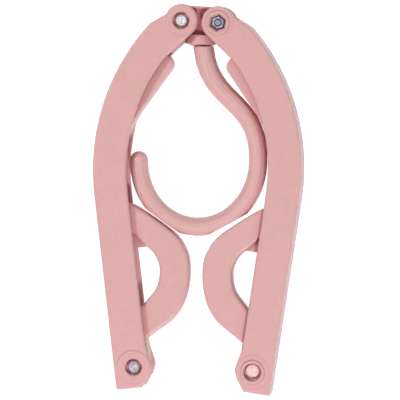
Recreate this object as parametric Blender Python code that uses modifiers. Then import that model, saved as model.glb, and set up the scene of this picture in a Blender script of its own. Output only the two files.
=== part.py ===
"""Folding travel hanger, folded: a hub with a swivel hook, two curved channel arms, and two
wings with D-shaped loops that fold into the arms. It lies on its back, front face up."""

import math

import bmesh
import bpy
from mathutils import Matrix, Vector, geometry

MM = 0.001

# Fits
FIT_GAP = 0.3 * MM           # between pieces that touch
RUNNING_GAP = 0.35 * MM      # between a bore and the boss that turns in it
OVERRUN = 2.0 * MM           # how far a cutter passes a face
JOIN_DEPTH = 0.4 * MM        # how deep one form sinks into another that it is joined to

# Rest attitude of the folded hanger
HUB_TILT = math.radians(3.1)
LEFT_LEAN = math.radians(4.35)       # chord of the left arm from the hub's axis
RIGHT_LEAN = math.radians(9.25)
OPEN_LEAN = math.radians(125.0)      # where the arms meet their stops on the hub

# Arm: a straight run from the wing pivot, then a bend up to the hub pivot
ARM_WIDTH = 11.5 * MM
ARM_STRAIGHT = 60.0 * MM
ARM_BEND_RADIUS = 67.6 * MM          # centreline
ARM_BEND = math.radians(56.3)
PIVOT_INSET = 1.1 * MM               # pivots lie this far inside the centreline
ARM_END = 7.2 * MM                   # end face beyond the wing pivot
ARM_CORNER = 0.95 * MM
HUB_DISC_RADIUS = 5.65 * MM
WING_DISC_RADIUS = 6.15 * MM
SHOULDER_RUN = 9.0 * MM              # the outer edge leaves its arc this far before the hub pivot
DISC_BACK = math.radians(150)        # where it runs into the hub disc
DISC_FRONT = math.radians(-8)        # where the wing disc ends and the toe begins
HUB_FLARE = 13.0 * MM                # the inner edge runs straight to the hub disc from here
WING_FLARE = 7.5 * MM                # and to the wing disc from here
TOE_SHARE = 0.70                     # height of the toe's corner, of the end face's distance
CHANNEL_GAP = 8.2 * MM
COVER_THICKNESS = 2.15 * MM
TRAY_THICKNESS = 1.9 * MM
SPINE_THICKNESS = 1.2 * MM
SPINE_SETBACK = 0.05 * MM            # the spine's outer face behind the plates' edges
PAD_HEIGHT = 0.25 * MM               # raised disc round each pivot
PAD_MARGIN = 0.25 * MM
TRAY_PAD_HEIGHT = 0.12 * MM
EDGE_ROUND = 0.75 * MM
SPINE_ROUND = 0.25 * MM

# Rings, bosses and recesses at the pivots, on the tray side
RING_RADIUS = 4.15 * MM
RING_HEIGHT = 0.5 * MM
RING_CHAMFER = 0.3 * MM
RECESS_RADIUS = 3.0 * MM             # blind recess over the wing's boss
BLIND_DEPTH = 1.8 * MM
BORE_FLARE = 0.3 * MM                # chamfer at the mouth of a recess or counterbore
RECESS_DEPTH = 1.3 * MM              # flared mouth of the nut's pocket
NUT_FLARE = 0.6 * MM
TRUNNION_RADIUS = 3.6 * MM
WING_BOSS_RADIUS = 3.4 * MM
PILOT_DEPTH = 4.2 * MM

# Screws and nuts
SHANK_RADIUS = 1.0 * MM
HEAD_RADIUS = 2.1 * MM
HEAD_HEIGHT = 1.3 * MM
HEAD_ROUND = 0.45 * MM
CROSS_WIDTH = 0.5 * MM
CROSS_LENGTH = 2.4 * MM
CROSS_DEPTH = 0.6 * MM
COUNTERBORE_RADIUS = 2.85 * MM
COUNTERBORE_DEPTH = 1.9 * MM
NUT_ACROSS_FLATS = 4.0 * MM
NUT_HEIGHT = 1.6 * MM
NUT_CHAMFER = 0.4 * MM

# Hub
PIVOT_SPACING = 12.5 * MM
HUB_THICKNESS = 7.5 * MM
EYE_RADIUS = 5.25 * MM
WEB_THICKNESS = 4.0 * MM
RIM_HEIGHT = 0.9 * MM
WEB_DROP = 4.5 * MM                  # from the pivots down to the collar's flat top edge
HUB_EDGE_ROUND = 0.3 * MM
COLLAR_RADIUS = 5.3 * MM             # across; it is as deep as the hub is thick
COLLAR_SIDE = 3.0 * MM
COLLAR_DOME = 1.1 * MM
COLLAR_FLOOR = 1.2 * MM              # ledge that keeps the hook's snap head in
NECK_RADIUS = 2.0 * MM
SNAP_RADIUS = 2.7 * MM
SNAP_HEIGHT = 1.6 * MM
SNAP_CHAMFER = 0.5 * MM

# Hook, measured from the hub's centre down the swivel axis
ROD_RADIUS = 3.16 * MM
STEM_RADIUS = 3.5 * MM
STEM_OFFSET = 1.3 * MM               # the stem's root lies this far off the axis
STEM_LEAN = math.radians(9.0)
NECK_HANDLE_SHARES = (0.531, 0.604)   # reach of the neck's curve handles, of its height
RING_CENTRE_X = 1.9 * MM
RING_NEST = 16.7 * MM                # the ring's centre, up from the ends of the loops
RING_CLEARANCE = 2.85 * MM           # beside the ring, to the right wing's bar
RING_HALF_HEIGHT = 22.4 * MM         # to the rod's centreline
TIP_SHORT = 1.0 * MM                 # the tip ends this far below the ring's centre
FLAT_DISTANCE = 23.7 * MM            # nesting flats, from the ring's centre
FLAT_ANGLE = math.radians(32.3)

# Wing: a bar that follows the channel, with a D-shaped loop on its inner side
WING_THICKNESS = 7.4 * MM
BAR_INNER = 1.7 * MM                 # bar's inner edge, from the pivot line
BAR_SLACK = 0.7 * MM                 # beside the bar, to the spine
EYE_STEP = 0.2 * MM                  # eye beyond the bar's outer edge
HEEL_LENGTH = 14.0 * MM
HEEL_TAPER = 3.0 * MM
WING_BEND = math.radians(42.8)
WING_BEND_SHARE = 0.577              # inner edge's radius, of the arm's bend radius
WING_REACH = 17.3 * MM               # straight run past the bend, to the tip's centre
LOOP_START = 9.0 * MM
LOOP_LENGTH = 46.0 * MM
LOOP_TOP = 22.5 * MM                 # outside of the loop, from the pivot line
LOOP_EDGE_ROUND = 1.1 * MM
WING_EDGE_ROUND = 0.5 * MM
GUSSET_THICKNESS = 4.2 * MM
# Loop's outside and opening: shares of its length from the pivot end, and of its height
LOOP_OUTER_SHARES = (
    (0.00, 0.03), (0.043, 0.22), (0.117, 0.546), (0.198, 0.742), (0.283, 0.866),
    (0.40, 0.962), (0.54, 1.0), (0.641, 0.95), (0.737, 0.82), (0.835, 0.569),
    (0.941, 0.255), (1.0, 0.06))
LOOP_INNER_SHARES = (
    (0.261, 0.055), (0.357, 0.305), (0.441, 0.40), (0.528, 0.429), (0.622, 0.356),
    (0.696, 0.193), (0.783, 0.008))
GUSSET_SHARES = ((0.678, -0.2), (0.678, 0.30), (0.826, 0.19), (0.826, -0.2))

# Fineness
ARC_STEP = math.radians(9.0)
BEND_STEP = math.radians(4.0)
TURNED_SIDES = 32
SCREW_SIDES = 24
NUT_SIDES = 6
NECK_STEPS = 13
RING_POINTS = 30
TIP_STEPS = 4
DOME_STEPS = 5
ROD_RESOLUTION = 6
WELD_DISTANCE = 0.01 * MM
SHARP_ANGLE = math.radians(50)

PINK = (0.71, 0.42, 0.40, 1.0)
STEEL = (0.62, 0.61, 0.64, 1.0)

# Worked-out places
HALF_GAP = CHANNEL_GAP / 2
BEND_CENTRE = Vector((ARM_BEND_RADIUS - PIVOT_INSET, ARM_STRAIGHT))
OUTER_X = -PIVOT_INSET - ARM_WIDTH / 2
INNER_X = -PIVOT_INSET + ARM_WIDTH / 2
BAR_OUTER = -OUTER_X - SPINE_SETBACK - SPINE_THICKNESS - BAR_SLACK
WING_EYE_RADIUS = BAR_OUTER + EYE_STEP
OUTER_RADIUS = ARM_BEND_RADIUS + ARM_WIDTH / 2
INNER_RADIUS = ARM_BEND_RADIUS - ARM_WIDTH / 2
COVER_FACE = HALF_GAP + COVER_THICKNESS
TRAY_FACE = HALF_GAP + TRAY_THICKNESS
PAD_TOP = COVER_FACE + PAD_HEIGHT
RING_TOP = TRAY_FACE + RING_HEIGHT
INSIDE_TOP = HALF_GAP - FIT_GAP      # where the tray's spine and bosses end, under the cover
SCREW_HOLE_RADIUS = SHANK_RADIUS + FIT_GAP
RECESS_FLOOR = RECESS_DEPTH - RING_TOP
BLIND_FLOOR = BLIND_DEPTH - RING_TOP
NUT_SEAT = RECESS_FLOOR + NUT_HEIGHT
COLLAR_BOTTOM = WEB_DROP + COLLAR_SIDE + COLLAR_DOME
STEM_TOP = COLLAR_BOTTOM + FIT_GAP
SNAP_BOTTOM = COLLAR_BOTTOM - COLLAR_FLOOR - FIT_GAP
SNAP_TOP = SNAP_BOTTOM - SNAP_HEIGHT
EYE_X = PIVOT_SPACING / 2
WING_PIVOT = Vector((0, 0))
WING_BEND_RADIUS = WING_BEND_SHARE * ARM_BEND_RADIUS


def on_bend(radius, turn):
    """Point of the arm's bend, in the wing pivot's frame."""
    return BEND_CENTRE + radius * Vector((-math.cos(turn), math.sin(turn)))


def bend_points(radius, start, end):
    steps = max(1, round(abs(end - start) / BEND_STEP))
    return [on_bend(radius, start + (end - start) * i / steps) for i in range(steps + 1)]


HUB_PIVOT = on_bend(ARM_BEND_RADIUS - PIVOT_INSET, ARM_BEND)
CHORD_ANGLE = math.atan2(HUB_PIVOT.x, HUB_PIVOT.y)


def bar_inner_edge(height):
    """Point of the wing bar's inner edge at a height over the wing pivot, in its frame."""
    above = max(0, height - ARM_STRAIGHT)
    bow = WING_BEND_RADIUS - math.sqrt(WING_BEND_RADIUS ** 2 - above ** 2)
    return Vector((BAR_INNER + bow, height))


def in_hub_frame(point, side, lean):
    """Place of an arm's point when the hanger is folded; side is -1 on the left."""
    offset = Vector((-side * (point.x - HUB_PIVOT.x), point.y - HUB_PIVOT.y))
    return Matrix.Rotation(side * (lean - CHORD_ANGLE), 2) @ offset + Vector((side * EYE_X, 0))


RING_HEIGHT_ON_ARM = LOOP_START + LOOP_LENGTH + RING_NEST
RING_CENTRE_DROP = HUB_PIVOT.length - RING_HEIGHT_ON_ARM
RING_ROOM = in_hub_frame(bar_inner_edge(RING_HEIGHT_ON_ARM), 1, RIGHT_LEAN).x - RING_CENTRE_X
RING_HALF_WIDTH = RING_ROOM - ROD_RADIUS - RING_CLEARANCE


def clear_scene():
    for thing in list(bpy.data.objects):
        bpy.data.objects.remove(thing, do_unlink=True)


def collection(name):
    group = bpy.data.collections.new(name)
    bpy.context.scene.collection.children.link(group)
    return group


def material(name, colour, roughness, metallic):
    finish = bpy.data.materials.new(name)
    finish.use_nodes = True
    shader = finish.node_tree.nodes["Principled BSDF"]
    shader.inputs["Base Color"].default_value = colour
    shader.inputs["Roughness"].default_value = roughness
    shader.inputs["Metallic"].default_value = metallic
    return finish


def arc(centre, radius, start, end):
    """Points of an arc, both ends included."""
    steps = max(2, round(abs(end - start) / ARC_STEP))
    angles = [start + (end - start) * i / steps for i in range(steps + 1)]
    return [Vector(centre) + radius * Vector((math.cos(a), math.sin(a))) for a in angles]


def angle_of(point, centre):
    return math.atan2(point.y - centre.y, point.x - centre.x)


def tangent_angle(point, centre, radius, side):
    """Direction from a circle's centre to where a line from the point touches the circle."""
    reach = (point - centre).length
    return angle_of(point, centre) + side * math.acos(radius / reach)


def keep_beyond(outline, point, normal, reach):
    """Part of a convex or bent outline that lies at least reach beyond the point."""
    kept = []
    for a, b in zip(outline, outline[1:] + outline[:1]):
        beyond_a = normal.dot(a - point) - reach
        beyond_b = normal.dot(b - point) - reach
        if beyond_a >= 0:
            kept.append(a)
        if beyond_a * beyond_b < 0:
            kept.append(a.lerp(b, beyond_a / (beyond_a - beyond_b)))
    return kept


def smooth(points):
    """Round curve through points chosen by hand, as a list of points."""
    ends = [2 * points[0] - points[1]] + points + [2 * points[-1] - points[-2]]
    result = [points[0]]
    for before, a, b, after in zip(ends, ends[1:], ends[2:], ends[3:]):
        handle_a = a + (b - before) / 6
        handle_b = b - (after - a) / 6
        result += geometry.interpolate_bezier(a, handle_a, handle_b, b, 4)[1:]
    return result


def corner_radius(across_flats):
    return across_flats / (2 * math.cos(math.pi / NUT_SIDES))


def nut_outline():
    half_step = math.pi / NUT_SIDES
    radius = corner_radius(NUT_ACROSS_FLATS)
    return [radius * Vector((math.cos(turn), math.sin(turn)))
            for turn in (half_step * (2 * side + 1) for side in range(NUT_SIDES))]


def mesh_object(name, mesh, group):
    thing = bpy.data.objects.new(name, mesh)
    group.objects.link(thing)
    return thing


def to_mesh(source, group):
    """Turn a curve or a modified object into a plain welded mesh object in its place."""
    bpy.context.view_layer.update()
    evaluated = source.evaluated_get(bpy.context.evaluated_depsgraph_get())
    mesh = bpy.data.meshes.new_from_object(evaluated)
    work = bmesh.new()
    work.from_mesh(mesh)
    bmesh.ops.remove_doubles(work, verts=work.verts, dist=WELD_DISTANCE)
    bmesh.ops.recalc_face_normals(work, faces=work.faces)
    work.to_mesh(mesh)
    work.free()
    mesh.transform(source.matrix_world)
    name = source.name
    bpy.data.objects.remove(source, do_unlink=True)
    return mesh_object(name, mesh, group)


def moved(thing, place):
    thing.location = (place[0], place[1], 0)
    return thing


def flat_solid(name, loops, low, high, rounding, group):
    """Plate with the outline loops, from low to high in Z, with rounded edges."""
    curve = bpy.data.curves.new(name, "CURVE")
    curve.dimensions = "2D"
    curve.fill_mode = "BOTH"
    curve.extrude = (high - low) / 2 - rounding
    curve.bevel_depth = rounding
    curve.offset = -rounding
    curve.bevel_resolution = 1
    for loop in loops:
        spline = curve.splines.new("POLY")
        spline.points.add(len(loop) - 1)
        for point, place in zip(spline.points, loop):
            point.co = (place.x, place.y, 0, 1)
        spline.use_cyclic_u = True
    plate = bpy.data.objects.new(name, curve)
    group.objects.link(plate)
    plate.location = (0, 0, (high + low) / 2)
    return to_mesh(plate, group)


def turned(name, place, profile, group, sides=TURNED_SIDES):
    """Solid of revolution about a vertical axis, from (radius, height) points, top to bottom."""
    mesh = bpy.data.meshes.new(name)
    work = bmesh.new()
    verts = [work.verts.new((radius, 0, height)) for radius, height in profile]
    for a, b in zip(verts, verts[1:]):
        work.edges.new((a, b))
    work.to_mesh(mesh)
    work.free()
    thing = mesh_object(name, mesh, group)
    screw_turn = thing.modifiers.new("turn", "SCREW")
    screw_turn.steps = sides
    screw_turn.render_steps = sides
    screw_turn.use_merge_vertices = True
    screw_turn.merge_threshold = WELD_DISTANCE
    return moved(to_mesh(thing, group), place)


def box(name, low, high, group):
    mesh = bpy.data.meshes.new(name)
    work = bmesh.new()
    bmesh.ops.create_cube(work, size=1.0)
    middle = (Vector(low) + Vector(high)) / 2
    size = Vector(high) - Vector(low)
    bmesh.ops.transform(work, matrix=Matrix.Translation(middle) @ Matrix.Diagonal(size).to_4x4(),
                        verts=work.verts)
    work.to_mesh(mesh)
    work.free()
    return mesh_object(name, mesh, group)


def combine(base, others, operation, group, finish=None):
    """Join, cut or keep by each of the others in turn; a finish makes it a finished part."""
    for other in others:
        step = base.modifiers.new(operation.lower(), "BOOLEAN")
        step.operation = operation
        step.solver = "EXACT"
        step.object = other
    result = to_mesh(base, group)
    for other in others:
        bpy.data.objects.remove(other, do_unlink=True)
    if finish:
        result.data.materials.clear()
        result.data.materials.append(finish)
        result.data.shade_smooth()
        result.data.set_sharp_from_angle(angle=SHARP_ANGLE)
    return result


def stop_facing():
    """Direction of the hub's flat edge in the arm's frame, once the arm is fully open."""
    return math.pi / 2 - (CHORD_ANGLE - OPEN_LEAN)


def shoulder_line(radius):
    """Where the outer edge leaves its arc, and where it runs into the hub disc."""
    turn = ARM_BEND - SHOULDER_RUN / OUTER_RADIUS
    back = HUB_PIVOT + HUB_DISC_RADIUS * Vector((math.cos(DISC_BACK), math.sin(DISC_BACK)))
    return turn, on_bend(radius, turn), back


def plate_outline():
    """Outline of both plates of an arm, in the wing pivot's frame."""
    turn, _, back = shoulder_line(OUTER_RADIUS)
    outer = bend_points(OUTER_RADIUS, 0, turn)
    inner = bend_points(INNER_RADIUS, ARM_BEND - HUB_FLARE / INNER_RADIUS, 0)
    touch = tangent_angle(inner[0], HUB_PIVOT, HUB_DISC_RADIUS, 1)
    disc = arc(HUB_PIVOT, HUB_DISC_RADIUS, angle_of(back, HUB_PIVOT), touch)
    inner.append(Vector((INNER_X, WING_FLARE)))
    touch = tangent_angle(inner[-1], WING_PIVOT, WING_DISC_RADIUS, -1)
    lower = arc(WING_PIVOT, WING_DISC_RADIUS, touch, DISC_FRONT)
    toe = [Vector((INNER_X - ARM_CORNER, -ARM_END * TOE_SHARE)),
           Vector((PIVOT_INSET + ARM_CORNER, -ARM_END))]
    corner = arc((OUTER_X + ARM_CORNER, ARM_CORNER - ARM_END), ARM_CORNER,
                 -math.pi / 2, -math.pi)
    return outer + disc + inner + lower + toe + corner


def spine_outline():
    """Closed outer wall of the channel, from the end face up to the stop against the hub."""
    outer_radius = OUTER_RADIUS - SPINE_SETBACK
    inner_radius = outer_radius - SPINE_THICKNESS
    turn, shoulder, back = shoulder_line(outer_radius)
    across = SPINE_THICKNESS * (shoulder - BEND_CENTRE).normalized()
    foot_y = SPINE_SETBACK - ARM_END
    outer_x = OUTER_X + SPINE_SETBACK
    wall = (bend_points(outer_radius, 0, turn) + [back, back - across]
            + bend_points(inner_radius, turn, 0)
            + [Vector((outer_x + SPINE_THICKNESS, foot_y)), Vector((outer_x, foot_y))])
    facing = stop_facing()
    normal = Vector((math.cos(facing), math.sin(facing)))
    return keep_beyond(wall, HUB_PIVOT, normal, EYE_RADIUS + FIT_GAP)


def pad(place, radius, face, height, group):
    """Low disc round a pivot; a negative height stands out from the plate's underside."""
    rim = radius - PAD_MARGIN
    foot = face - math.copysign(JOIN_DEPTH, height)
    return turned("pad", place, ((0, face + height), (rim - abs(height), face + height),
                                 (rim, foot), (0, foot)), group)


def arm_cover(group, plastic):
    """Plain plate with a counterbore and a hole for each screw."""
    cover = flat_solid("cover", [plate_outline()], HALF_GAP, COVER_FACE, EDGE_ROUND, group)
    pads = [pad(WING_PIVOT, WING_DISC_RADIUS, COVER_FACE, PAD_HEIGHT, group),
            pad(HUB_PIVOT, HUB_DISC_RADIUS, COVER_FACE, PAD_HEIGHT, group)]
    cover = combine(cover, pads, "UNION", group)
    floor = PAD_TOP - COUNTERBORE_DEPTH
    cuts = []
    for place in (WING_PIVOT, HUB_PIVOT):
        cuts.append(turned("counterbore", place, (
            (0, PAD_TOP + OVERRUN), (COUNTERBORE_RADIUS + BORE_FLARE + OVERRUN, PAD_TOP + OVERRUN),
            (COUNTERBORE_RADIUS, PAD_TOP - BORE_FLARE), (COUNTERBORE_RADIUS, floor),
            (SCREW_HOLE_RADIUS, floor), (SCREW_HOLE_RADIUS, 0), (0, 0)), group))
    return combine(cover, cuts, "DIFFERENCE", group, plastic)


def arm_tray(group, plastic):
    """Plate with the spine, the two pivot bosses and the raised rings, turned to the back."""
    tray = flat_solid("tray", [plate_outline()], -TRAY_FACE, -HALF_GAP, EDGE_ROUND, group)
    spine_foot = EDGE_ROUND - TRAY_FACE
    joins = [flat_solid("spine", [spine_outline()], spine_foot, INSIDE_TOP, SPINE_ROUND, group)]
    for place, boss, disc in ((WING_PIVOT, WING_BOSS_RADIUS, WING_DISC_RADIUS),
                              (HUB_PIVOT, TRUNNION_RADIUS, HUB_DISC_RADIUS)):
        foot = -HALF_GAP - JOIN_DEPTH
        joins.append(turned("boss", place, ((0, INSIDE_TOP), (boss, INSIDE_TOP), (boss, foot),
                                            (0, foot)), group))
        joins.append(pad(place, disc, -TRAY_FACE, -TRAY_PAD_HEIGHT, group))
        joins.append(turned("ring", place, (
            (0, foot), (RING_RADIUS, foot),
            (RING_RADIUS, RING_CHAMFER - RING_TOP), (RING_RADIUS - RING_CHAMFER, -RING_TOP),
            (0, -RING_TOP)), group))
    tray = combine(tray, joins, "UNION", group)
    outside = -RING_TOP - OVERRUN
    pilot = INSIDE_TOP - PILOT_DEPTH
    inside = INSIDE_TOP + OVERRUN
    pocket = corner_radius(NUT_ACROSS_FLATS + 2 * FIT_GAP)
    mouth = pocket + NUT_FLARE * (RECESS_DEPTH + OVERRUN) / RECESS_DEPTH
    cuts = [
        turned("nut_pocket", HUB_PIVOT, (
            (0, NUT_SEAT), (pocket, NUT_SEAT), (pocket, RECESS_FLOOR), (mouth, outside),
            (0, outside)), group, NUT_SIDES),
        turned("blind_recess", WING_PIVOT, (
            (0, BLIND_FLOOR), (RECESS_RADIUS, BLIND_FLOOR), (RECESS_RADIUS, BORE_FLARE - RING_TOP),
            (RECESS_RADIUS + BORE_FLARE + OVERRUN, outside), (0, outside)), group),
        turned("pilot", WING_PIVOT, (
            (0, inside), (SCREW_HOLE_RADIUS, inside), (SCREW_HOLE_RADIUS, pilot), (0, pilot)),
            group),
        turned("screw_hole", HUB_PIVOT, (
            (0, inside), (SCREW_HOLE_RADIUS, inside), (SCREW_HOLE_RADIUS, RECESS_FLOOR),
            (0, RECESS_FLOOR)), group),
    ]
    cuts[0].rotation_euler.z = math.pi / NUT_SIDES
    return combine(tray, cuts, "DIFFERENCE", group, plastic)


def loop_point(shares):
    """Place on the wing's loop, from its length and height shares."""
    along, out = shares
    return Vector((INNER_X + out * (LOOP_TOP - INNER_X), LOOP_START + along * LOOP_LENGTH))


def bar_outline():
    """Wing's bar: eye, heel, straight run, bend and round tip."""
    width = BAR_INNER + BAR_OUTER
    centre = Vector((BAR_INNER + WING_BEND_RADIUS, ARM_STRAIGHT))
    bend_end = math.pi - WING_BEND
    inner = arc(centre, WING_BEND_RADIUS, math.pi, bend_end)
    outer = arc(centre, WING_BEND_RADIUS + width, bend_end, math.pi)
    heading = Vector((math.sin(WING_BEND), math.cos(WING_BEND)))
    tip_centre = (inner[-1] + outer[0]) / 2 + WING_REACH * heading
    tip = arc(tip_centre, width / 2, -WING_BEND, bend_end)
    heel = [Vector((WING_EYE_RADIUS, 0)), Vector((WING_EYE_RADIUS, HEEL_LENGTH)),
            Vector((BAR_INNER, HEEL_LENGTH + HEEL_TAPER))]
    leave = math.pi - math.acos(BAR_OUTER / WING_EYE_RADIUS)
    eye = arc(WING_PIVOT, WING_EYE_RADIUS, leave, 2 * math.pi)
    return heel + inner + tip + outer + eye[:-1]


def wing(group, plastic):
    """Bar with its eye, the loop, and the thin gusset in the loop's upper corner."""
    half = WING_THICKNESS / 2
    bar = flat_solid("bar", [bar_outline()], -half, half, WING_EDGE_ROUND, group)
    outer = smooth([loop_point(pair) for pair in LOOP_OUTER_SHARES])
    sunk = -BAR_OUTER / 2
    feet = [Vector((sunk, outer[-1].y + HEEL_TAPER)), Vector((sunk, outer[0].y))]
    inner = smooth([loop_point(pair) for pair in LOOP_INNER_SHARES])
    foot_x = BAR_INNER - JOIN_DEPTH
    base = [Vector((foot_x, inner[-1].y)), Vector((foot_x, inner[0].y - HEEL_TAPER / 2))]
    loop = flat_solid("loop", [outer + feet, inner + base], -half, half, LOOP_EDGE_ROUND, group)
    gusset = flat_solid("gusset", [[loop_point(pair) for pair in GUSSET_SHARES]],
                        -GUSSET_THICKNESS / 2, GUSSET_THICKNESS / 2, 0, group)
    bar = combine(bar, [loop, gusset], "UNION", group)
    bore = WING_BOSS_RADIUS + RUNNING_GAP
    cut = turned("bore", WING_PIVOT, ((0, half + OVERRUN), (bore, half + OVERRUN),
                                      (bore, -half - OVERRUN), (0, -half - OVERRUN)), group)
    return combine(bar, [cut], "DIFFERENCE", group, plastic)


def about_swivel(name, profile, group):
    """Solid turned about the hook's swivel axis, from (radius, drop) points, top to bottom."""
    thing = turned(name, WING_PIVOT, [(radius, -drop) for radius, drop in profile], group)
    thing.matrix_world = Matrix.Rotation(-math.pi / 2, 4, "X")
    return thing


def round_collar(name, clearance, group):
    """Cylinder with a domed end, as wide as the collar, its dome lowered by the clearance."""
    dome_radius = (COLLAR_RADIUS ** 2 + COLLAR_DOME ** 2) / (2 * COLLAR_DOME)
    dome_centre = COLLAR_BOTTOM + clearance - dome_radius
    profile = [(0, WEB_DROP), (COLLAR_RADIUS, WEB_DROP)]
    for step in range(DOME_STEPS + 1):
        radius = COLLAR_RADIUS * (1 - step / DOME_STEPS)
        profile.append((radius, dome_centre + math.sqrt(dome_radius ** 2 - radius ** 2)))
    return about_swivel(name, profile, group)


def hub(group, plastic):
    """Two eyes, a thin web with a rim along its top edge, and the collar that holds the hook."""
    half = HUB_THICKNESS / 2
    eyes = [flat_solid("eye", [arc((x, 0), EYE_RADIUS, 0, 2 * math.pi)[:-1]], -half, half,
                       HUB_EDGE_ROUND, group) for x in (-EYE_X, EYE_X)]
    rim_low = EYE_RADIUS - RIM_HEIGHT
    web = box("web", (-EYE_X, -WEB_DROP - JOIN_DEPTH, -WEB_THICKNESS / 2),
              (EYE_X, rim_low + JOIN_DEPTH, WEB_THICKNESS / 2), group)
    rim = flat_solid("rim", [[Vector((-EYE_X, rim_low)), Vector((EYE_X, rim_low)),
                              Vector((EYE_X, EYE_RADIUS)), Vector((-EYE_X, EYE_RADIUS))]],
                     -half, half, HUB_EDGE_ROUND, group)
    collar = round_collar("collar", 0, group)
    collar.matrix_world = collar.matrix_world @ Matrix.Diagonal((1, half / COLLAR_RADIUS, 1, 1))
    body = combine(eyes[0], [eyes[1], web, rim, collar], "UNION", group)
    bore = TRUNNION_RADIUS + RUNNING_GAP
    cuts = [turned("bore", Vector((x, 0)), (
        (0, half + OVERRUN), (bore, half + OVERRUN), (bore, -half - OVERRUN),
        (0, -half - OVERRUN)), group) for x in (-EYE_X, EYE_X)]
    cuts.append(about_swivel("socket", (
        (0, SNAP_TOP - FIT_GAP), (SNAP_RADIUS + FIT_GAP, SNAP_TOP - FIT_GAP),
        (SNAP_RADIUS + FIT_GAP, SNAP_BOTTOM + FIT_GAP), (NECK_RADIUS + FIT_GAP, SNAP_BOTTOM + FIT_GAP),
        (NECK_RADIUS + FIT_GAP, COLLAR_BOTTOM + OVERRUN), (0, COLLAR_BOTTOM + OVERRUN)), group))
    return combine(body, cuts, "DIFFERENCE", group, plastic)


def rod_route():
    """Centreline of the hook with its radius at each point, from the stem to the tip."""
    start = Vector((STEM_OFFSET, -STEM_TOP))
    end = Vector((RING_CENTRE_X + RING_HALF_WIDTH, -RING_CENTRE_DROP))
    lean = Vector((math.sin(STEM_LEAN), -math.cos(STEM_LEAN)))
    pulls = [share * (start.y - end.y) for share in NECK_HANDLE_SHARES]
    neck = geometry.interpolate_bezier(start, start + pulls[0] * lean,
                                       end + Vector((0, pulls[1])), end, NECK_STEPS + 1)
    route = [(start - COLLAR_SIDE * lean, STEM_RADIUS)]
    for step, place in enumerate(neck[:-1]):
        share = step / NECK_STEPS
        route.append((place, STEM_RADIUS + (ROD_RADIUS - STEM_RADIUS) * share))
    turn_end = math.pi - math.asin(TIP_SHORT / RING_HALF_HEIGHT)
    for step in range(RING_POINTS + 1):
        turn = turn_end * step / RING_POINTS
        route.append((Vector((RING_CENTRE_X + RING_HALF_WIDTH * math.cos(turn),
                              -RING_CENTRE_DROP - RING_HALF_HEIGHT * math.sin(turn))), ROD_RADIUS))
    tip = route[-1][0]
    for step in range(1, TIP_STEPS + 1):
        turn = math.pi / 2 * step / (TIP_STEPS + 0.5)
        route.append((tip + Vector((0, ROD_RADIUS * math.sin(turn))), ROD_RADIUS * math.cos(turn)))
    return route


def hook(group, plastic):
    """Round rod bent to a neck and a ring, with two flats, a neck pin and a snap head. Its top
    is hollowed to run under the collar's dome."""
    curve = bpy.data.curves.new("rod", "CURVE")
    curve.dimensions = "3D"
    curve.bevel_depth = 1.0
    curve.bevel_resolution = ROD_RESOLUTION
    curve.use_fill_caps = True
    spline = curve.splines.new("POLY")
    route = rod_route()
    spline.points.add(len(route) - 1)
    for point, (place, radius) in zip(spline.points, route):
        point.co = (place.x, place.y, 0, 1)
        point.radius = radius
    rod = bpy.data.objects.new("rod", curve)
    group.objects.link(rod)
    rod = to_mesh(rod, group)
    flats = []
    for side in (-1, 1):
        flat = box("flat", (-RING_HALF_WIDTH, -RING_HALF_HEIGHT - ROD_RADIUS - OVERRUN,
                            -ROD_RADIUS - OVERRUN),
                   (RING_HALF_WIDTH, -FLAT_DISTANCE, ROD_RADIUS + OVERRUN), group)
        flat.matrix_world = (Matrix.Translation((RING_CENTRE_X, -RING_CENTRE_DROP, 0))
                             @ Matrix.Rotation(side * FLAT_ANGLE, 4, "Z"))
        flats.append(flat)
    rod = combine(rod, flats + [round_collar("clearance", FIT_GAP, group)], "DIFFERENCE", group)
    pin = about_swivel("pin", (
        (0, SNAP_TOP), (SNAP_RADIUS - SNAP_CHAMFER, SNAP_TOP), (SNAP_RADIUS, SNAP_TOP + SNAP_CHAMFER),
        (SNAP_RADIUS, SNAP_BOTTOM), (NECK_RADIUS, SNAP_BOTTOM), (NECK_RADIUS, STEM_TOP + STEM_OFFSET),
        (0, STEM_TOP + STEM_OFFSET)), group)
    return combine(rod, [pin], "UNION", group, plastic)


def screw(length_end, group, metal):
    """Pan-head screw from its head in the counterbore down to length_end, with a cross recess."""
    under = PAD_TOP - COUNTERBORE_DEPTH + FIT_GAP
    top = under + HEAD_HEIGHT
    body = turned("screw", WING_PIVOT, (
        (0, top), (HEAD_RADIUS - HEAD_ROUND, top), (HEAD_RADIUS, top - HEAD_ROUND),
        (HEAD_RADIUS, under), (SHANK_RADIUS, under), (SHANK_RADIUS, length_end), (0, length_end)),
        group, SCREW_SIDES)
    cuts = []
    for length, width in ((CROSS_LENGTH, CROSS_WIDTH), (CROSS_WIDTH, CROSS_LENGTH)):
        cuts.append(box("cross", (-length / 2, -width / 2, top - CROSS_DEPTH),
                        (length / 2, width / 2, top + OVERRUN), group))
    return combine(body, cuts, "DIFFERENCE", group, metal)


def nut(group, metal):
    """Hexagon nut at the inner end of its pocket."""
    inner = NUT_SEAT - FIT_GAP
    body = flat_solid("nut", [nut_outline()], inner - NUT_HEIGHT, inner, NUT_CHAMFER, group)
    cut = turned("bore", WING_PIVOT, (
        (0, inner + OVERRUN), (SCREW_HOLE_RADIUS, inner + OVERRUN),
        (SCREW_HOLE_RADIUS, inner - NUT_HEIGHT - OVERRUN), (0, inner - NUT_HEIGHT - OVERRUN)),
        group, SCREW_SIDES)
    return combine(body, [cut], "DIFFERENCE", group, metal)


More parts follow.
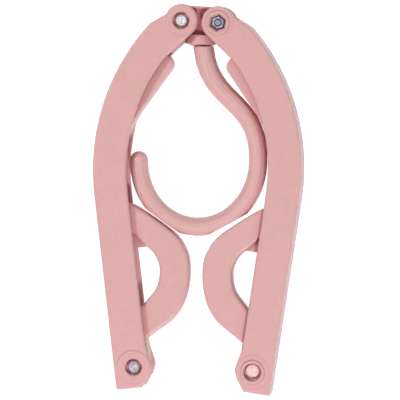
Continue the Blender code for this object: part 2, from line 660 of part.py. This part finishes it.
def frame(name, parent, place, turn, group, flipped=False):
    """Empty on a joint's axis; the right side is the left one turned over."""
    empty = bpy.data.objects.new(name, None)
    empty.empty_display_size = COLLAR_RADIUS
    group.objects.link(empty)
    empty.parent = parent
    empty.location = (place[0], place[1], 0)
    empty.rotation_euler = (0, math.pi if flipped else 0, turn)
    return empty


def place_part(name, mesh, parent, group, place=(0, 0)):
    thing = bpy.data.objects.new(name, mesh)
    group.objects.link(thing)
    thing.parent = parent
    thing.location = (place[0], place[1], 0)
    return thing


def stand_on_origin(root, parts):
    """Move the whole hanger so that its box stands centred on the origin."""
    bpy.context.view_layer.update()
    corners = [part.matrix_world @ vert.co for part in parts for vert in part.data.vertices]
    low = Vector(min(corner[axis] for corner in corners) for axis in range(3))
    high = Vector(max(corner[axis] for corner in corners) for axis in range(3))
    root.location -= Vector(((low.x + high.x) / 2, (low.y + high.y) / 2, low.z))


def build():
    clear_scene()
    group = collection("folding_travel_hanger")
    workshop = collection("workshop")
    plastic = material("pink_plastic", PINK, 0.5, 0.0)
    metal = material("zinc_plated_steel", STEEL, 0.35, 1.0)

    shift = Matrix.Translation((-HUB_PIVOT.x, -HUB_PIVOT.y, 0))
    cover_mesh = arm_cover(workshop, plastic).data
    tray_mesh = arm_tray(workshop, plastic).data
    for mesh in (cover_mesh, tray_mesh):
        mesh.transform(shift)
    wing_mesh = wing(workshop, plastic).data
    hub_mesh = hub(workshop, plastic).data
    hook_mesh = hook(workshop, plastic).data
    hub_screw_mesh = screw(NUT_SEAT - NUT_HEIGHT - 2 * FIT_GAP, workshop, metal).data
    wing_screw_mesh = screw(INSIDE_TOP - PILOT_DEPTH + FIT_GAP, workshop, metal).data
    nut_mesh = nut(workshop, metal).data
    for leftover in list(workshop.objects):
        bpy.data.objects.remove(leftover, do_unlink=True)

    root = frame("hanger", None, (0, 0), -HUB_TILT, group)
    parts = [place_part("hub", hub_mesh, root, group), place_part("hook", hook_mesh, root, group)]
    wing_place = -HUB_PIVOT
    for side, name, lean in ((-1, "left", LEFT_LEAN), (1, "right", RIGHT_LEAN)):
        turn = side * (lean - CHORD_ANGLE)
        fold = frame(name + "_arm_fold", root, (side * EYE_X, 0), turn, group, side > 0)
        unfold = frame(name + "_wing_unfold", fold, wing_place, 0, group)
        parts += [
            place_part(name + "_arm_cover", cover_mesh, fold, group),
            place_part(name + "_arm_tray", tray_mesh, fold, group),
            place_part(name + "_hub_screw", hub_screw_mesh, fold, group),
            place_part(name + "_hub_nut", nut_mesh, fold, group),
            place_part(name + "_wing_screw", wing_screw_mesh, fold, group, wing_place),
            place_part(name + "_wing", wing_mesh, unfold, group),
        ]
    stand_on_origin(root, parts)


build()
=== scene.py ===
import math
from typing import NamedTuple

import bmesh
import bpy
from mathutils import Matrix, Vector


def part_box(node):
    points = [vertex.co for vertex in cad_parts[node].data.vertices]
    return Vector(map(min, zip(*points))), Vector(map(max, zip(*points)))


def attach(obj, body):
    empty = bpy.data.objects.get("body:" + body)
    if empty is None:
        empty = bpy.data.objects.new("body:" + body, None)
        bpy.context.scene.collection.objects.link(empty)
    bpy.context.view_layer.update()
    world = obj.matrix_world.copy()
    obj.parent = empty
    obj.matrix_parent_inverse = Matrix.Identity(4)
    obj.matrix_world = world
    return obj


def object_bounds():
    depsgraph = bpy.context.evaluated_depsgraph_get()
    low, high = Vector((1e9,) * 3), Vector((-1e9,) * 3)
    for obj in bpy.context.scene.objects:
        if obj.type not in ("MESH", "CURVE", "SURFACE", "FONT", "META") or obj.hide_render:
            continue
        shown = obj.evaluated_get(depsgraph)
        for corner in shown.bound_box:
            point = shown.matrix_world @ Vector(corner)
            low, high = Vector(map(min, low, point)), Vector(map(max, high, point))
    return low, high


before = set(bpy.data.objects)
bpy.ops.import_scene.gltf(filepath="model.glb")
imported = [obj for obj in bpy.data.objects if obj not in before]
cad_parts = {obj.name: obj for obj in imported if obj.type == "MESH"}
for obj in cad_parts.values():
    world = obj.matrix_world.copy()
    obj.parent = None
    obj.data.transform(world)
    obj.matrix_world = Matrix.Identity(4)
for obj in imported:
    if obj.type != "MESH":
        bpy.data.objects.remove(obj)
CAD_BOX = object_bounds()

# Colours are linear
PINK = (0.590, 0.343, 0.319)
# Lighter copy of the pink for the hook: painted light, for the light the hook catches
PINK_HOOK_LIT = (0.620, 0.368, 0.345)
PINK_WARM = (0.635, 0.338, 0.348)
PINK_PALE = (0.600, 0.392, 0.372)
PINK_BLUSH = (0.672, 0.328, 0.372)
# Lilac-grey laid on the sides of the mouldings: painted shade
PINK_SIDE_SHADE = (0.450, 0.350, 0.368)
# Pale cream for the low boss in the blind recess: painted light on the recess floor
PINK_BOSS_LIT = (0.820, 0.640, 0.560)
# Darker, redder pink for the hub's fillets: painted shade of the web between the eyes
PINK_WEB_SHADE = (0.620, 0.265, 0.255)
# Darker colours mixed in where faces close in: painted shade in crevices, holes and the hub's web
PINK_CREVICE_SHADE = (0.56, 0.185, 0.182)
PINK_HOLE_SHADE = (0.62, 0.250, 0.255)
WEB_CREVICE_SHADE = (0.36, 0.040, 0.036)
STRAW_DARK = (0.57, 0.31, 0.28)
STRAW_PALE = (0.78, 0.54, 0.51)
SCREW_LIGHT = (0.92, 0.90, 0.95)
SCREW_DARK = (0.42, 0.36, 0.50)
NUT_LIGHT = (0.40, 0.41, 0.51)
NUT_DARK = (0.31, 0.32, 0.42)
FLOOR_WHITE = (0.42, 0.42, 0.425)
FLOOR_SHADE = (0.40, 0.40, 0.41)


class Layer(NamedTuple):
    """A noise that tints the plastic where its value lies past start, in full past end."""
    scale: float
    detail: float
    rough: float
    distortion: float
    start: float
    end: float
    cover: float
    colour: tuple
    stretch: tuple = None


WARM_CLOUDS = Layer(90, 3.0, 0.6, 0.6, 0.36, 0.68, 0.9, PINK_WARM)
BLUSH_CLOUDS = Layer(240, 2.0, 0.5, 0.8, 0.52, 0.74, 0.75, PINK_BLUSH)
PALE_CLOUDS = Layer(520, 3.0, 0.6, 0.0, 0.45, 0.8, 0.5, PINK_PALE)
DARK_FLECKS = Layer(1500, 1.0, 0.4, 0.0, 0.66, 0.78, 0.22, STRAW_DARK, (1.0, 0.35, 1.0))
PALE_FLECKS = Layer(1100, 1.0, 0.4, 0.6, 0.66, 0.8, 0.20, STRAW_PALE)

# Plastic; lengths are in metres
# Reach and openness spans of the painted crevice shade
CREVICE_REACH = 0.0030
OPENNESS = (0.0, 0.80)
OPENNESS_DARK = (0.15, 0.92)
OPENNESS_HUB = (0.1, 0.92)
OPENNESS_WING = (0.2, 0.95)
# How strongly the painted shade greys the sides
SIDE_SHADE = 0.5
SIDE_NORMALS = (0.25, 0.95)
PLASTIC_ROUGH = (0.40, 0.56)
PLASTIC_SHINE = 0.42
HUB_SHINE = 0.2
GLOW = 0.16
GLOW_RADIUS = (1.0, 0.38, 0.32)
GLOW_DEPTH = 0.0011
GRAIN_SCALE = 2400
GRAIN_BUMP = (0.16, 0.00008)
MOULD_BUMP = (0.10, 0.00018)

# Zinc plating
SCREW_ROUGH = (0.22, 0.38)
NUT_ROUGH = (0.42, 0.60)
CLOUD_SCALE = 900
CLOUD_SPAN = (0.46, 0.72)
CLOUD_BUMP = (0.2, 0.00006)
SPANGLE_SCALE = 3800
RING_WAVES = 38000.0                 # radians of the turning rings in a metre
RING_BUMP = (0.12, 0.00003)
TIP_DULL = 0.002                     # from a screw's cut end
TIP_BRIGHT = 0.004

# Small forms, in metres
SHARP_ANGLE = math.radians(50)
WELD = 1e-7
SIDES = 48
BEAD_MIDDLE = 0.00358
BEAD_HALF = 0.00060
BEAD_RISE = 0.00050
BEAD_CREST = 0.00014
BEAD_FOOT = 0.00060
BEAD_STEPS = 9
BOSS_SHIFT = 0.00060
# Radius and height from the ring's top
BOSS = ((0.0, -0.00046), (0.0005, -0.00044), (0.0009, -0.00034), (0.0017, -0.00050),
        (0.0021, -0.00072), (0.0024, -0.00110), (0.0024, -0.00185), (0.0, -0.00185))
# Up from the line through the hub's pivots and out from its middle plane
FILLET = ((0.0046, 0.0037), (0.0043, 0.0034), (0.0037, 0.0028), (0.0029, 0.0024),
          (0.0010, 0.00212), (-0.0046, 0.00206), (-0.0046, 0.0018), (0.0046, 0.0018))

# Floor and light
FLOOR_HALF = 3.0
FLOOR_DROP = 0.0004
FLOOR_GLOW = 0.92
FLOOR_ROUGH = 0.9
FLOOR_SHINE = 0.1
WORLD_LIGHT = 0.305
# Name, place, width and power
LIGHTS = (
    ("key", (0.25, -0.72, 0.75), 0.15, 7.6),
    ("side", (-0.60, 0.35, 0.70), 0.15, 4.0),
    ("fill", (0.45, 0.65, 0.55), 0.4, 1.4),
    ("overhead", (0.05, 0.10, 1.35), 0.5, 1.0),
)

# Camera, from matching the outline
CAMERA_PLACE = (0.1335, 0.0397, 1.102)
CAMERA_TARGET = (0.00051, -0.00027, 0.0065)
CAMERA_ROLL = 0.0076
CLIP_START = 0.05
CLIP_END = 20.0
FOCAL_PIXELS = 3237.3
IMAGE_PIXELS = 400
SENSOR = 36.0


# Materials

class Graph:
    """Small helper to write a node material line by line."""

    def __init__(self, name):
        self.material = bpy.data.materials.new(name)
        self.material.use_nodes = True
        self.tree = self.material.node_tree
        self.shader = self.tree.nodes["Principled BSDF"]
        self.place = self.add("ShaderNodeTexCoord").outputs["Object"]

    def add(self, kind, **settings):
        node = self.tree.nodes.new(kind)
        for key, value in settings.items():
            setattr(node, key, value)
        return node

    def link(self, source, target):
        self.tree.links.new(source, target)

    def noise(self, scale, detail=3.0, rough=0.5, distortion=0.0, stretch=None):
        """Noise in about 1/scale metres; returns its value output."""
        place = self.place
        if stretch:
            mapping = self.add("ShaderNodeMapping")
            mapping.inputs["Scale"].default_value = stretch
            self.link(place, mapping.inputs["Vector"])
            place = mapping.outputs["Vector"]
        node = self.add("ShaderNodeTexNoise")
        node.inputs["Scale"].default_value = scale
        node.inputs["Detail"].default_value = detail
        node.inputs["Roughness"].default_value = rough
        node.inputs["Distortion"].default_value = distortion
        self.link(place, node.inputs["Vector"])
        return node.outputs["Fac"]

    def span(self, value, low, high, from_low=0.3, from_high=0.7):
        node = self.add("ShaderNodeMapRange")
        node.inputs["From Min"].default_value = from_low
        node.inputs["From Max"].default_value = from_high
        node.inputs["To Min"].default_value = low
        node.inputs["To Max"].default_value = high
        self.link(value, node.inputs["Value"])
        return node.outputs["Result"]

    def mix(self, factor, a, b):
        """Mix two colours by a socket; a and b are sockets or plain colours."""
        node = self.add("ShaderNodeMix", data_type="RGBA")
        self.link(factor, node.inputs[0])
        for value, socket in ((a, node.inputs[6]), (b, node.inputs[7])):
            if isinstance(value, tuple):
                socket.default_value = (*value, 1.0)
            else:
                self.link(value, socket)
        return node.outputs[2]

    def tint(self, colour, layer, scale=1.0):
        """Lay a layer over the colour; returns the new colour and the layer's noise."""
        value = self.noise(layer.scale * scale, layer.detail, layer.rough, layer.distortion,
                           layer.stretch)
        cover = self.span(value, 0.0, layer.cover, layer.start, layer.end)
        return self.mix(cover, colour, layer.colour), value

    def crevice(self, reach, shut, clear):
        """1 on open faces, falling to 0 deep between faces that are closer than the reach; the
        mask of the painted crevice shade.
        """
        node = self.add("ShaderNodeAmbientOcclusion", samples=8)
        node.inputs["Distance"].default_value = reach
        return self.span(node.outputs["AO"], 0.0, 1.0, shut, clear)

    def along_z(self, vector):
        split = self.add("ShaderNodeSeparateXYZ")
        self.link(vector, split.inputs["Vector"])
        return split.outputs["Z"]

    def upright(self):
        """0 on faces that lie flat, 1 on the sides of the mouldings, in the piece's own frame;
        the mask of the painted side shade.
        """
        size = self.add("ShaderNodeMath", operation="ABSOLUTE")
        self.link(self.along_z(self.add("ShaderNodeTexCoord").outputs["Normal"]), size.inputs[0])
        return self.span(size.outputs["Value"], 1.0, 0.0, *SIDE_NORMALS)

    def rings(self, middle):
        """Waves round the upright line through the middle."""
        mapping = self.add("ShaderNodeMapping")
        mapping.inputs["Location"].default_value = (-middle[0], -middle[1], 0.0)
        self.link(self.place, mapping.inputs["Vector"])
        flat = self.add("ShaderNodeVectorMath", operation="MULTIPLY")
        flat.inputs[1].default_value = (1.0, 1.0, 0.0)
        self.link(mapping.outputs["Vector"], flat.inputs[0])
        length = self.add("ShaderNodeVectorMath", operation="LENGTH")
        self.link(flat.outputs["Vector"], length.inputs[0])
        scaled = self.add("ShaderNodeMath", operation="MULTIPLY")
        scaled.inputs[1].default_value = RING_WAVES
        self.link(length.outputs["Value"], scaled.inputs[0])
        wave = self.add("ShaderNodeMath", operation="SINE")
        self.link(scaled.outputs["Value"], wave.inputs[0])
        return wave.outputs["Value"]

    def bump(self, height, strength, distance, before=None):
        node = self.add("ShaderNodeBump")
        node.inputs["Strength"].default_value = strength
        node.inputs["Distance"].default_value = distance
        self.link(height, node.inputs["Height"])
        if before is not None:
            self.link(before, node.inputs["Normal"])
        return node.outputs["Normal"]


def pink_plastic(name, scale, reach=CREVICE_REACH, sides=SIDE_SHADE, deep=PINK_CREVICE_SHADE, base=PINK,
                 openness=OPENNESS, shine=PLASTIC_SHINE):
    """Matte straw-filled polypropylene: soft mottling, a fine moulded grain, painted shade that
    greys the sides and darkens the crevices.
    The scale is of the mottling, so that no two mouldings look the same."""
    g = Graph(name)
    colour, _ = g.tint(base, WARM_CLOUDS, scale)
    colour, _ = g.tint(colour, BLUSH_CLOUDS, scale)
    colour, clouds = g.tint(colour, PALE_CLOUDS, scale)
    colour, _ = g.tint(colour, DARK_FLECKS)
    colour, _ = g.tint(colour, PALE_FLECKS)
    # Painted shade: the sides turn greyer by how upright they stand
    colour = g.mix(g.span(g.upright(), 0.0, sides, 0.0, 1.0), colour, PINK_SIDE_SHADE)
    # Painted shade: crevices and holes darken towards the deep colour
    colour = g.mix(g.crevice(reach, *openness), deep, colour)
    g.link(colour, g.shader.inputs["Base Color"])
    g.link(g.span(clouds, *PLASTIC_ROUGH), g.shader.inputs["Roughness"])
    normal = g.bump(g.noise(GRAIN_SCALE, 3.0, 0.65), *GRAIN_BUMP)
    normal = g.bump(clouds, *MOULD_BUMP, normal)
    g.link(normal, g.shader.inputs["Normal"])
    g.shader.inputs["Specular IOR Level"].default_value = shine
    g.shader.inputs["Subsurface Weight"].default_value = GLOW
    g.shader.inputs["Subsurface Radius"].default_value = GLOW_RADIUS
    g.shader.inputs["Subsurface Scale"].default_value = GLOW_DEPTH
    return g.material


def zinc(name, middle, light, dark, rough, tip=None):
    """Zinc-plated steel with turning rings round the piece's middle and a cloudy plating.
    tip is the height of a screw's cut end, which is duller, and the way to its head."""
    g = Graph(name)
    cloud = g.noise(CLOUD_SCALE, 4.0, 0.6, 0.3)
    spangle = g.noise(SPANGLE_SCALE, 2.0, 0.5)
    colour = g.mix(g.span(cloud, 0.0, 1.0, *CLOUD_SPAN), light, dark)
    if tip is not None:
        end, way = tip
        along = g.span(g.along_z(g.place), 0.0, 1.0, end + way * TIP_DULL, end + way * TIP_BRIGHT)
        dull = g.mix(g.span(cloud, 0.0, 1.0), NUT_LIGHT, NUT_DARK)
        colour = g.mix(along, dull, colour)
    g.link(colour, g.shader.inputs["Base Color"])
    g.link(g.span(spangle, *rough), g.shader.inputs["Roughness"])
    normal = g.bump(g.rings(middle), *RING_BUMP)
    normal = g.bump(cloud, *CLOUD_BUMP, normal)
    g.link(normal, g.shader.inputs["Normal"])
    g.shader.inputs["Metallic"].default_value = 1.0
    return g.material


plastics = {
    # Painted shade: the hub's web darkens to a deep red
    "hub": pink_plastic("hub_plastic", 1.1, 0.0036, 0.2, WEB_CREVICE_SHADE,
                        openness=OPENNESS_HUB, shine=HUB_SHINE),
    # Lighter base than the other mouldings: painted light on the hook
    "hook": pink_plastic("hook_plastic", 0.9, 0.0045, 0.1, base=PINK_HOOK_LIT,
                         openness=OPENNESS_DARK),
    "left_arm_cover": pink_plastic("left_cover_plastic", 1.0, deep=PINK_HOLE_SHADE),
    "left_arm_tray": pink_plastic("left_tray_plastic", 1.05, deep=PINK_HOLE_SHADE),
    "right_arm_cover": pink_plastic("right_cover_plastic", 0.95, deep=PINK_HOLE_SHADE),
    "right_arm_tray": pink_plastic("right_tray_plastic", 1.0, deep=PINK_HOLE_SHADE),
    "left_wing": pink_plastic("left_wing_plastic", 0.92, 0.0040, 0.3, openness=OPENNESS_WING),
    "right_wing": pink_plastic("right_wing_plastic", 1.08, 0.0040, 0.3, openness=OPENNESS_WING),
}


def dress(node, material):
    node.data.materials.clear()
    node.data.materials.append(material)
    node.data.shade_smooth()
    node.data.set_sharp_from_angle(angle=SHARP_ANGLE)


def middle_of(node):
    low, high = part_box(node)
    return (low + high) / 2


def dress_solids():
    for node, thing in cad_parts.items():
        if node in plastics:
            dress(thing, plastics[node])
        elif node.endswith("nut"):
            dress(thing, zinc(node + "_zinc", middle_of(node), NUT_LIGHT, NUT_DARK, NUT_ROUGH))
        else:
            low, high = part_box(node)
            tip = (high.z, -1) if node.startswith("right") else (low.z, 1)
            dress(thing, zinc(node + "_zinc", middle_of(node), SCREW_LIGHT, SCREW_DARK,
                              SCREW_ROUGH, tip))


# Small forms on the mouldings

def add_mesh(name, points, faces, material, body):
    mesh = bpy.data.meshes.new(name)
    mesh.from_pydata(points, [], faces)
    # Points that meet on an axis become one, and every face looks outward
    shape = bmesh.new()
    shape.from_mesh(mesh)
    bmesh.ops.remove_doubles(shape, verts=shape.verts, dist=WELD)
    bmesh.ops.recalc_face_normals(shape, faces=shape.faces)
    shape.to_mesh(mesh)
    shape.free()
    thing = bpy.data.objects.new(name, mesh)
    bpy.context.scene.collection.objects.link(thing)
    dress(thing, material)
    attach(thing, body)


def turned(name, centre, facing, profile, material, body):
    """Turned solid; profile is closed, (radius, height) over the centre, facing is 1 or -1."""
    points = []
    faces = []
    count = len(profile)
    for side in range(SIDES):
        angle = 2 * math.pi * side / SIDES
        for radius, height in profile:
            points.append((centre.x + radius * math.cos(angle),
                           centre.y + facing * radius * math.sin(angle),
                           centre.z + facing * height))
        here = side * count
        there = (side + 1) % SIDES * count
        for step in range(count):
            after = (step + 1) % count
            faces.append((here + step, there + step, there + after, here + after))
    add_mesh(name, points, faces, material, body)


def bead(name, centre, facing, material, body):
    """Round crest on the raised ring about a pivot."""
    profile = [(BEAD_MIDDLE - BEAD_HALF, -BEAD_FOOT), (BEAD_MIDDLE + BEAD_HALF, -BEAD_FOOT)]
    for step in range(BEAD_STEPS + 1):
        angle = math.pi * step / BEAD_STEPS
        profile.append((BEAD_MIDDLE + BEAD_HALF * math.cos(angle),
                        BEAD_CREST + BEAD_RISE * (math.sin(angle) - 1)))
    turned(name, centre, facing, profile, material, body)


def dress_trays():
    """Beads on the trays' rings and the low boss in the blind recess, front and back."""
    for side, facing, face in (("right", 1, CAD_BOX[1].z), ("left", -1, CAD_BOX[0].z)):
        plastic = plastics[side + "_arm_tray"]
        body = side + "_arm"
        for pivot in ("hub", "wing"):
            centre = middle_of("%s_%s_screw" % (side, pivot))
            centre.z = face
            bead("%s_%s_bead" % (side, pivot), centre, facing, plastic, body)
        # The blind recess is at the wing's pivot, the last one
        centre.y += BOSS_SHIFT
        # Painted light: the boss is pale cream where the plastic is pink
        lit_boss = pink_plastic(side + "_boss_plastic", 1.3, 0.0010, 0.3, base=PINK_BOSS_LIT)
        turned(side + "_recess_boss", centre, facing, BOSS, lit_boss, body)


def hub_fillets():
    """Hollow fillets between the hub's top rim and its web, front and back."""
    left = middle_of("left_hub_screw")
    right = middle_of("right_hub_screw")
    middle = (left + right) / 2
    middle.z = (CAD_BOX[0].z + CAD_BOX[1].z) / 2
    along = (right - left).normalized()
    along.z = 0
    up = Vector((-along.y, along.x, 0))
    half = (right - left).length / 2
    # The fillets' colour is painted shade: a darker base and a long crevice reach
    plastic = pink_plastic("fillet_plastic", 1.2, 0.0070, 0.1, WEB_CREVICE_SHADE, PINK_WEB_SHADE,
                           shine=HUB_SHINE)
    count = len(FILLET)
    for name, facing in (("hub_fillet_back", -1), ("hub_fillet_front", 1)):
        points = []
        for x in (-half, half):
            for y, z in FILLET:
                points.append(middle + x * along + y * up + Vector((0, 0, facing * z)))
        faces = [tuple(range(count)), tuple(range(2 * count - 1, count - 1, -1))]
        for step in range(count):
            after = (step + 1) % count
            faces.append((step, after, count + after, count + step))
        add_mesh(name, points, faces, plastic, "hub")


# Floor, lights and camera

def floor():
    mesh = bpy.data.meshes.new("floor")
    size = FLOOR_HALF
    mesh.from_pydata([(-size, -size, 0), (size, -size, 0), (size, size, 0), (-size, size, 0)], [],
                     [(0, 1, 2, 3)])
    thing = bpy.data.objects.new("floor", mesh)
    bpy.context.scene.collection.objects.link(thing)
    thing.location.z = -FLOOR_DROP
    g = Graph("pale_floor")
    tone = g.noise(6.0, 3.0, 0.5)
    g.link(g.mix(g.span(tone, 0.0, 1.0), FLOOR_WHITE, FLOOR_SHADE),
           g.shader.inputs["Base Color"])
    g.shader.inputs["Roughness"].default_value = FLOOR_ROUGH
    g.shader.inputs["Specular IOR Level"].default_value = FLOOR_SHINE
    g.shader.inputs["Emission Color"].default_value = (1.0, 1.0, 1.0, 1.0)
    g.shader.inputs["Emission Strength"].default_value = FLOOR_GLOW
    thing.data.materials.append(g.material)


def area_light(name, place, width, power):
    """Round light that looks at the origin."""
    lamp = bpy.data.lights.new(name, "AREA")
    lamp.shape = "DISK"
    lamp.size = width
    lamp.energy = power
    thing = bpy.data.objects.new(name, lamp)
    bpy.context.scene.collection.objects.link(thing)
    thing.location = place
    thing.rotation_mode = "QUATERNION"
    thing.rotation_quaternion = (-Vector(place)).to_track_quat("-Z", "Y")


def camera():
    lens = bpy.data.cameras.new("camera")
    lens.sensor_width = SENSOR
    lens.lens = SENSOR * FOCAL_PIXELS / IMAGE_PIXELS
    lens.clip_start = CLIP_START
    lens.clip_end = CLIP_END
    thing = bpy.data.objects.new("camera", lens)
    bpy.context.scene.collection.objects.link(thing)
    forward = (Vector(CAMERA_TARGET) - Vector(CAMERA_PLACE)).normalized()
    right = forward.cross(Vector((0, 1, 0))).normalized()
    up = right.cross(forward)
    turned_right = math.cos(CAMERA_ROLL) * right + math.sin(CAMERA_ROLL) * up
    turned_up = math.cos(CAMERA_ROLL) * up - math.sin(CAMERA_ROLL) * right
    thing.matrix_world = Matrix((
        (turned_right.x, turned_up.x, -forward.x, CAMERA_PLACE[0]),
        (turned_right.y, turned_up.y, -forward.y, CAMERA_PLACE[1]),
        (turned_right.z, turned_up.z, -forward.z, CAMERA_PLACE[2]),
        (0, 0, 0, 1)))
    bpy.context.scene.camera = thing


def surroundings():
    world = bpy.data.worlds.new("studio")
    world.use_nodes = True
    back = world.node_tree.nodes["Background"]
    back.inputs["Color"].default_value = (1.0, 1.0, 1.0, 1.0)
    back.inputs["Strength"].default_value = WORLD_LIGHT
    bpy.context.scene.world = world
    settings = bpy.context.scene.view_settings
    settings.view_transform = "Standard"
    settings.look = "None"
    settings.exposure = 0.0
    settings.gamma = 1.0


dress_solids()
dress_trays()
hub_fillets()
floor()
surroundings()
for light in LIGHTS:
    area_light(*light)
camera()
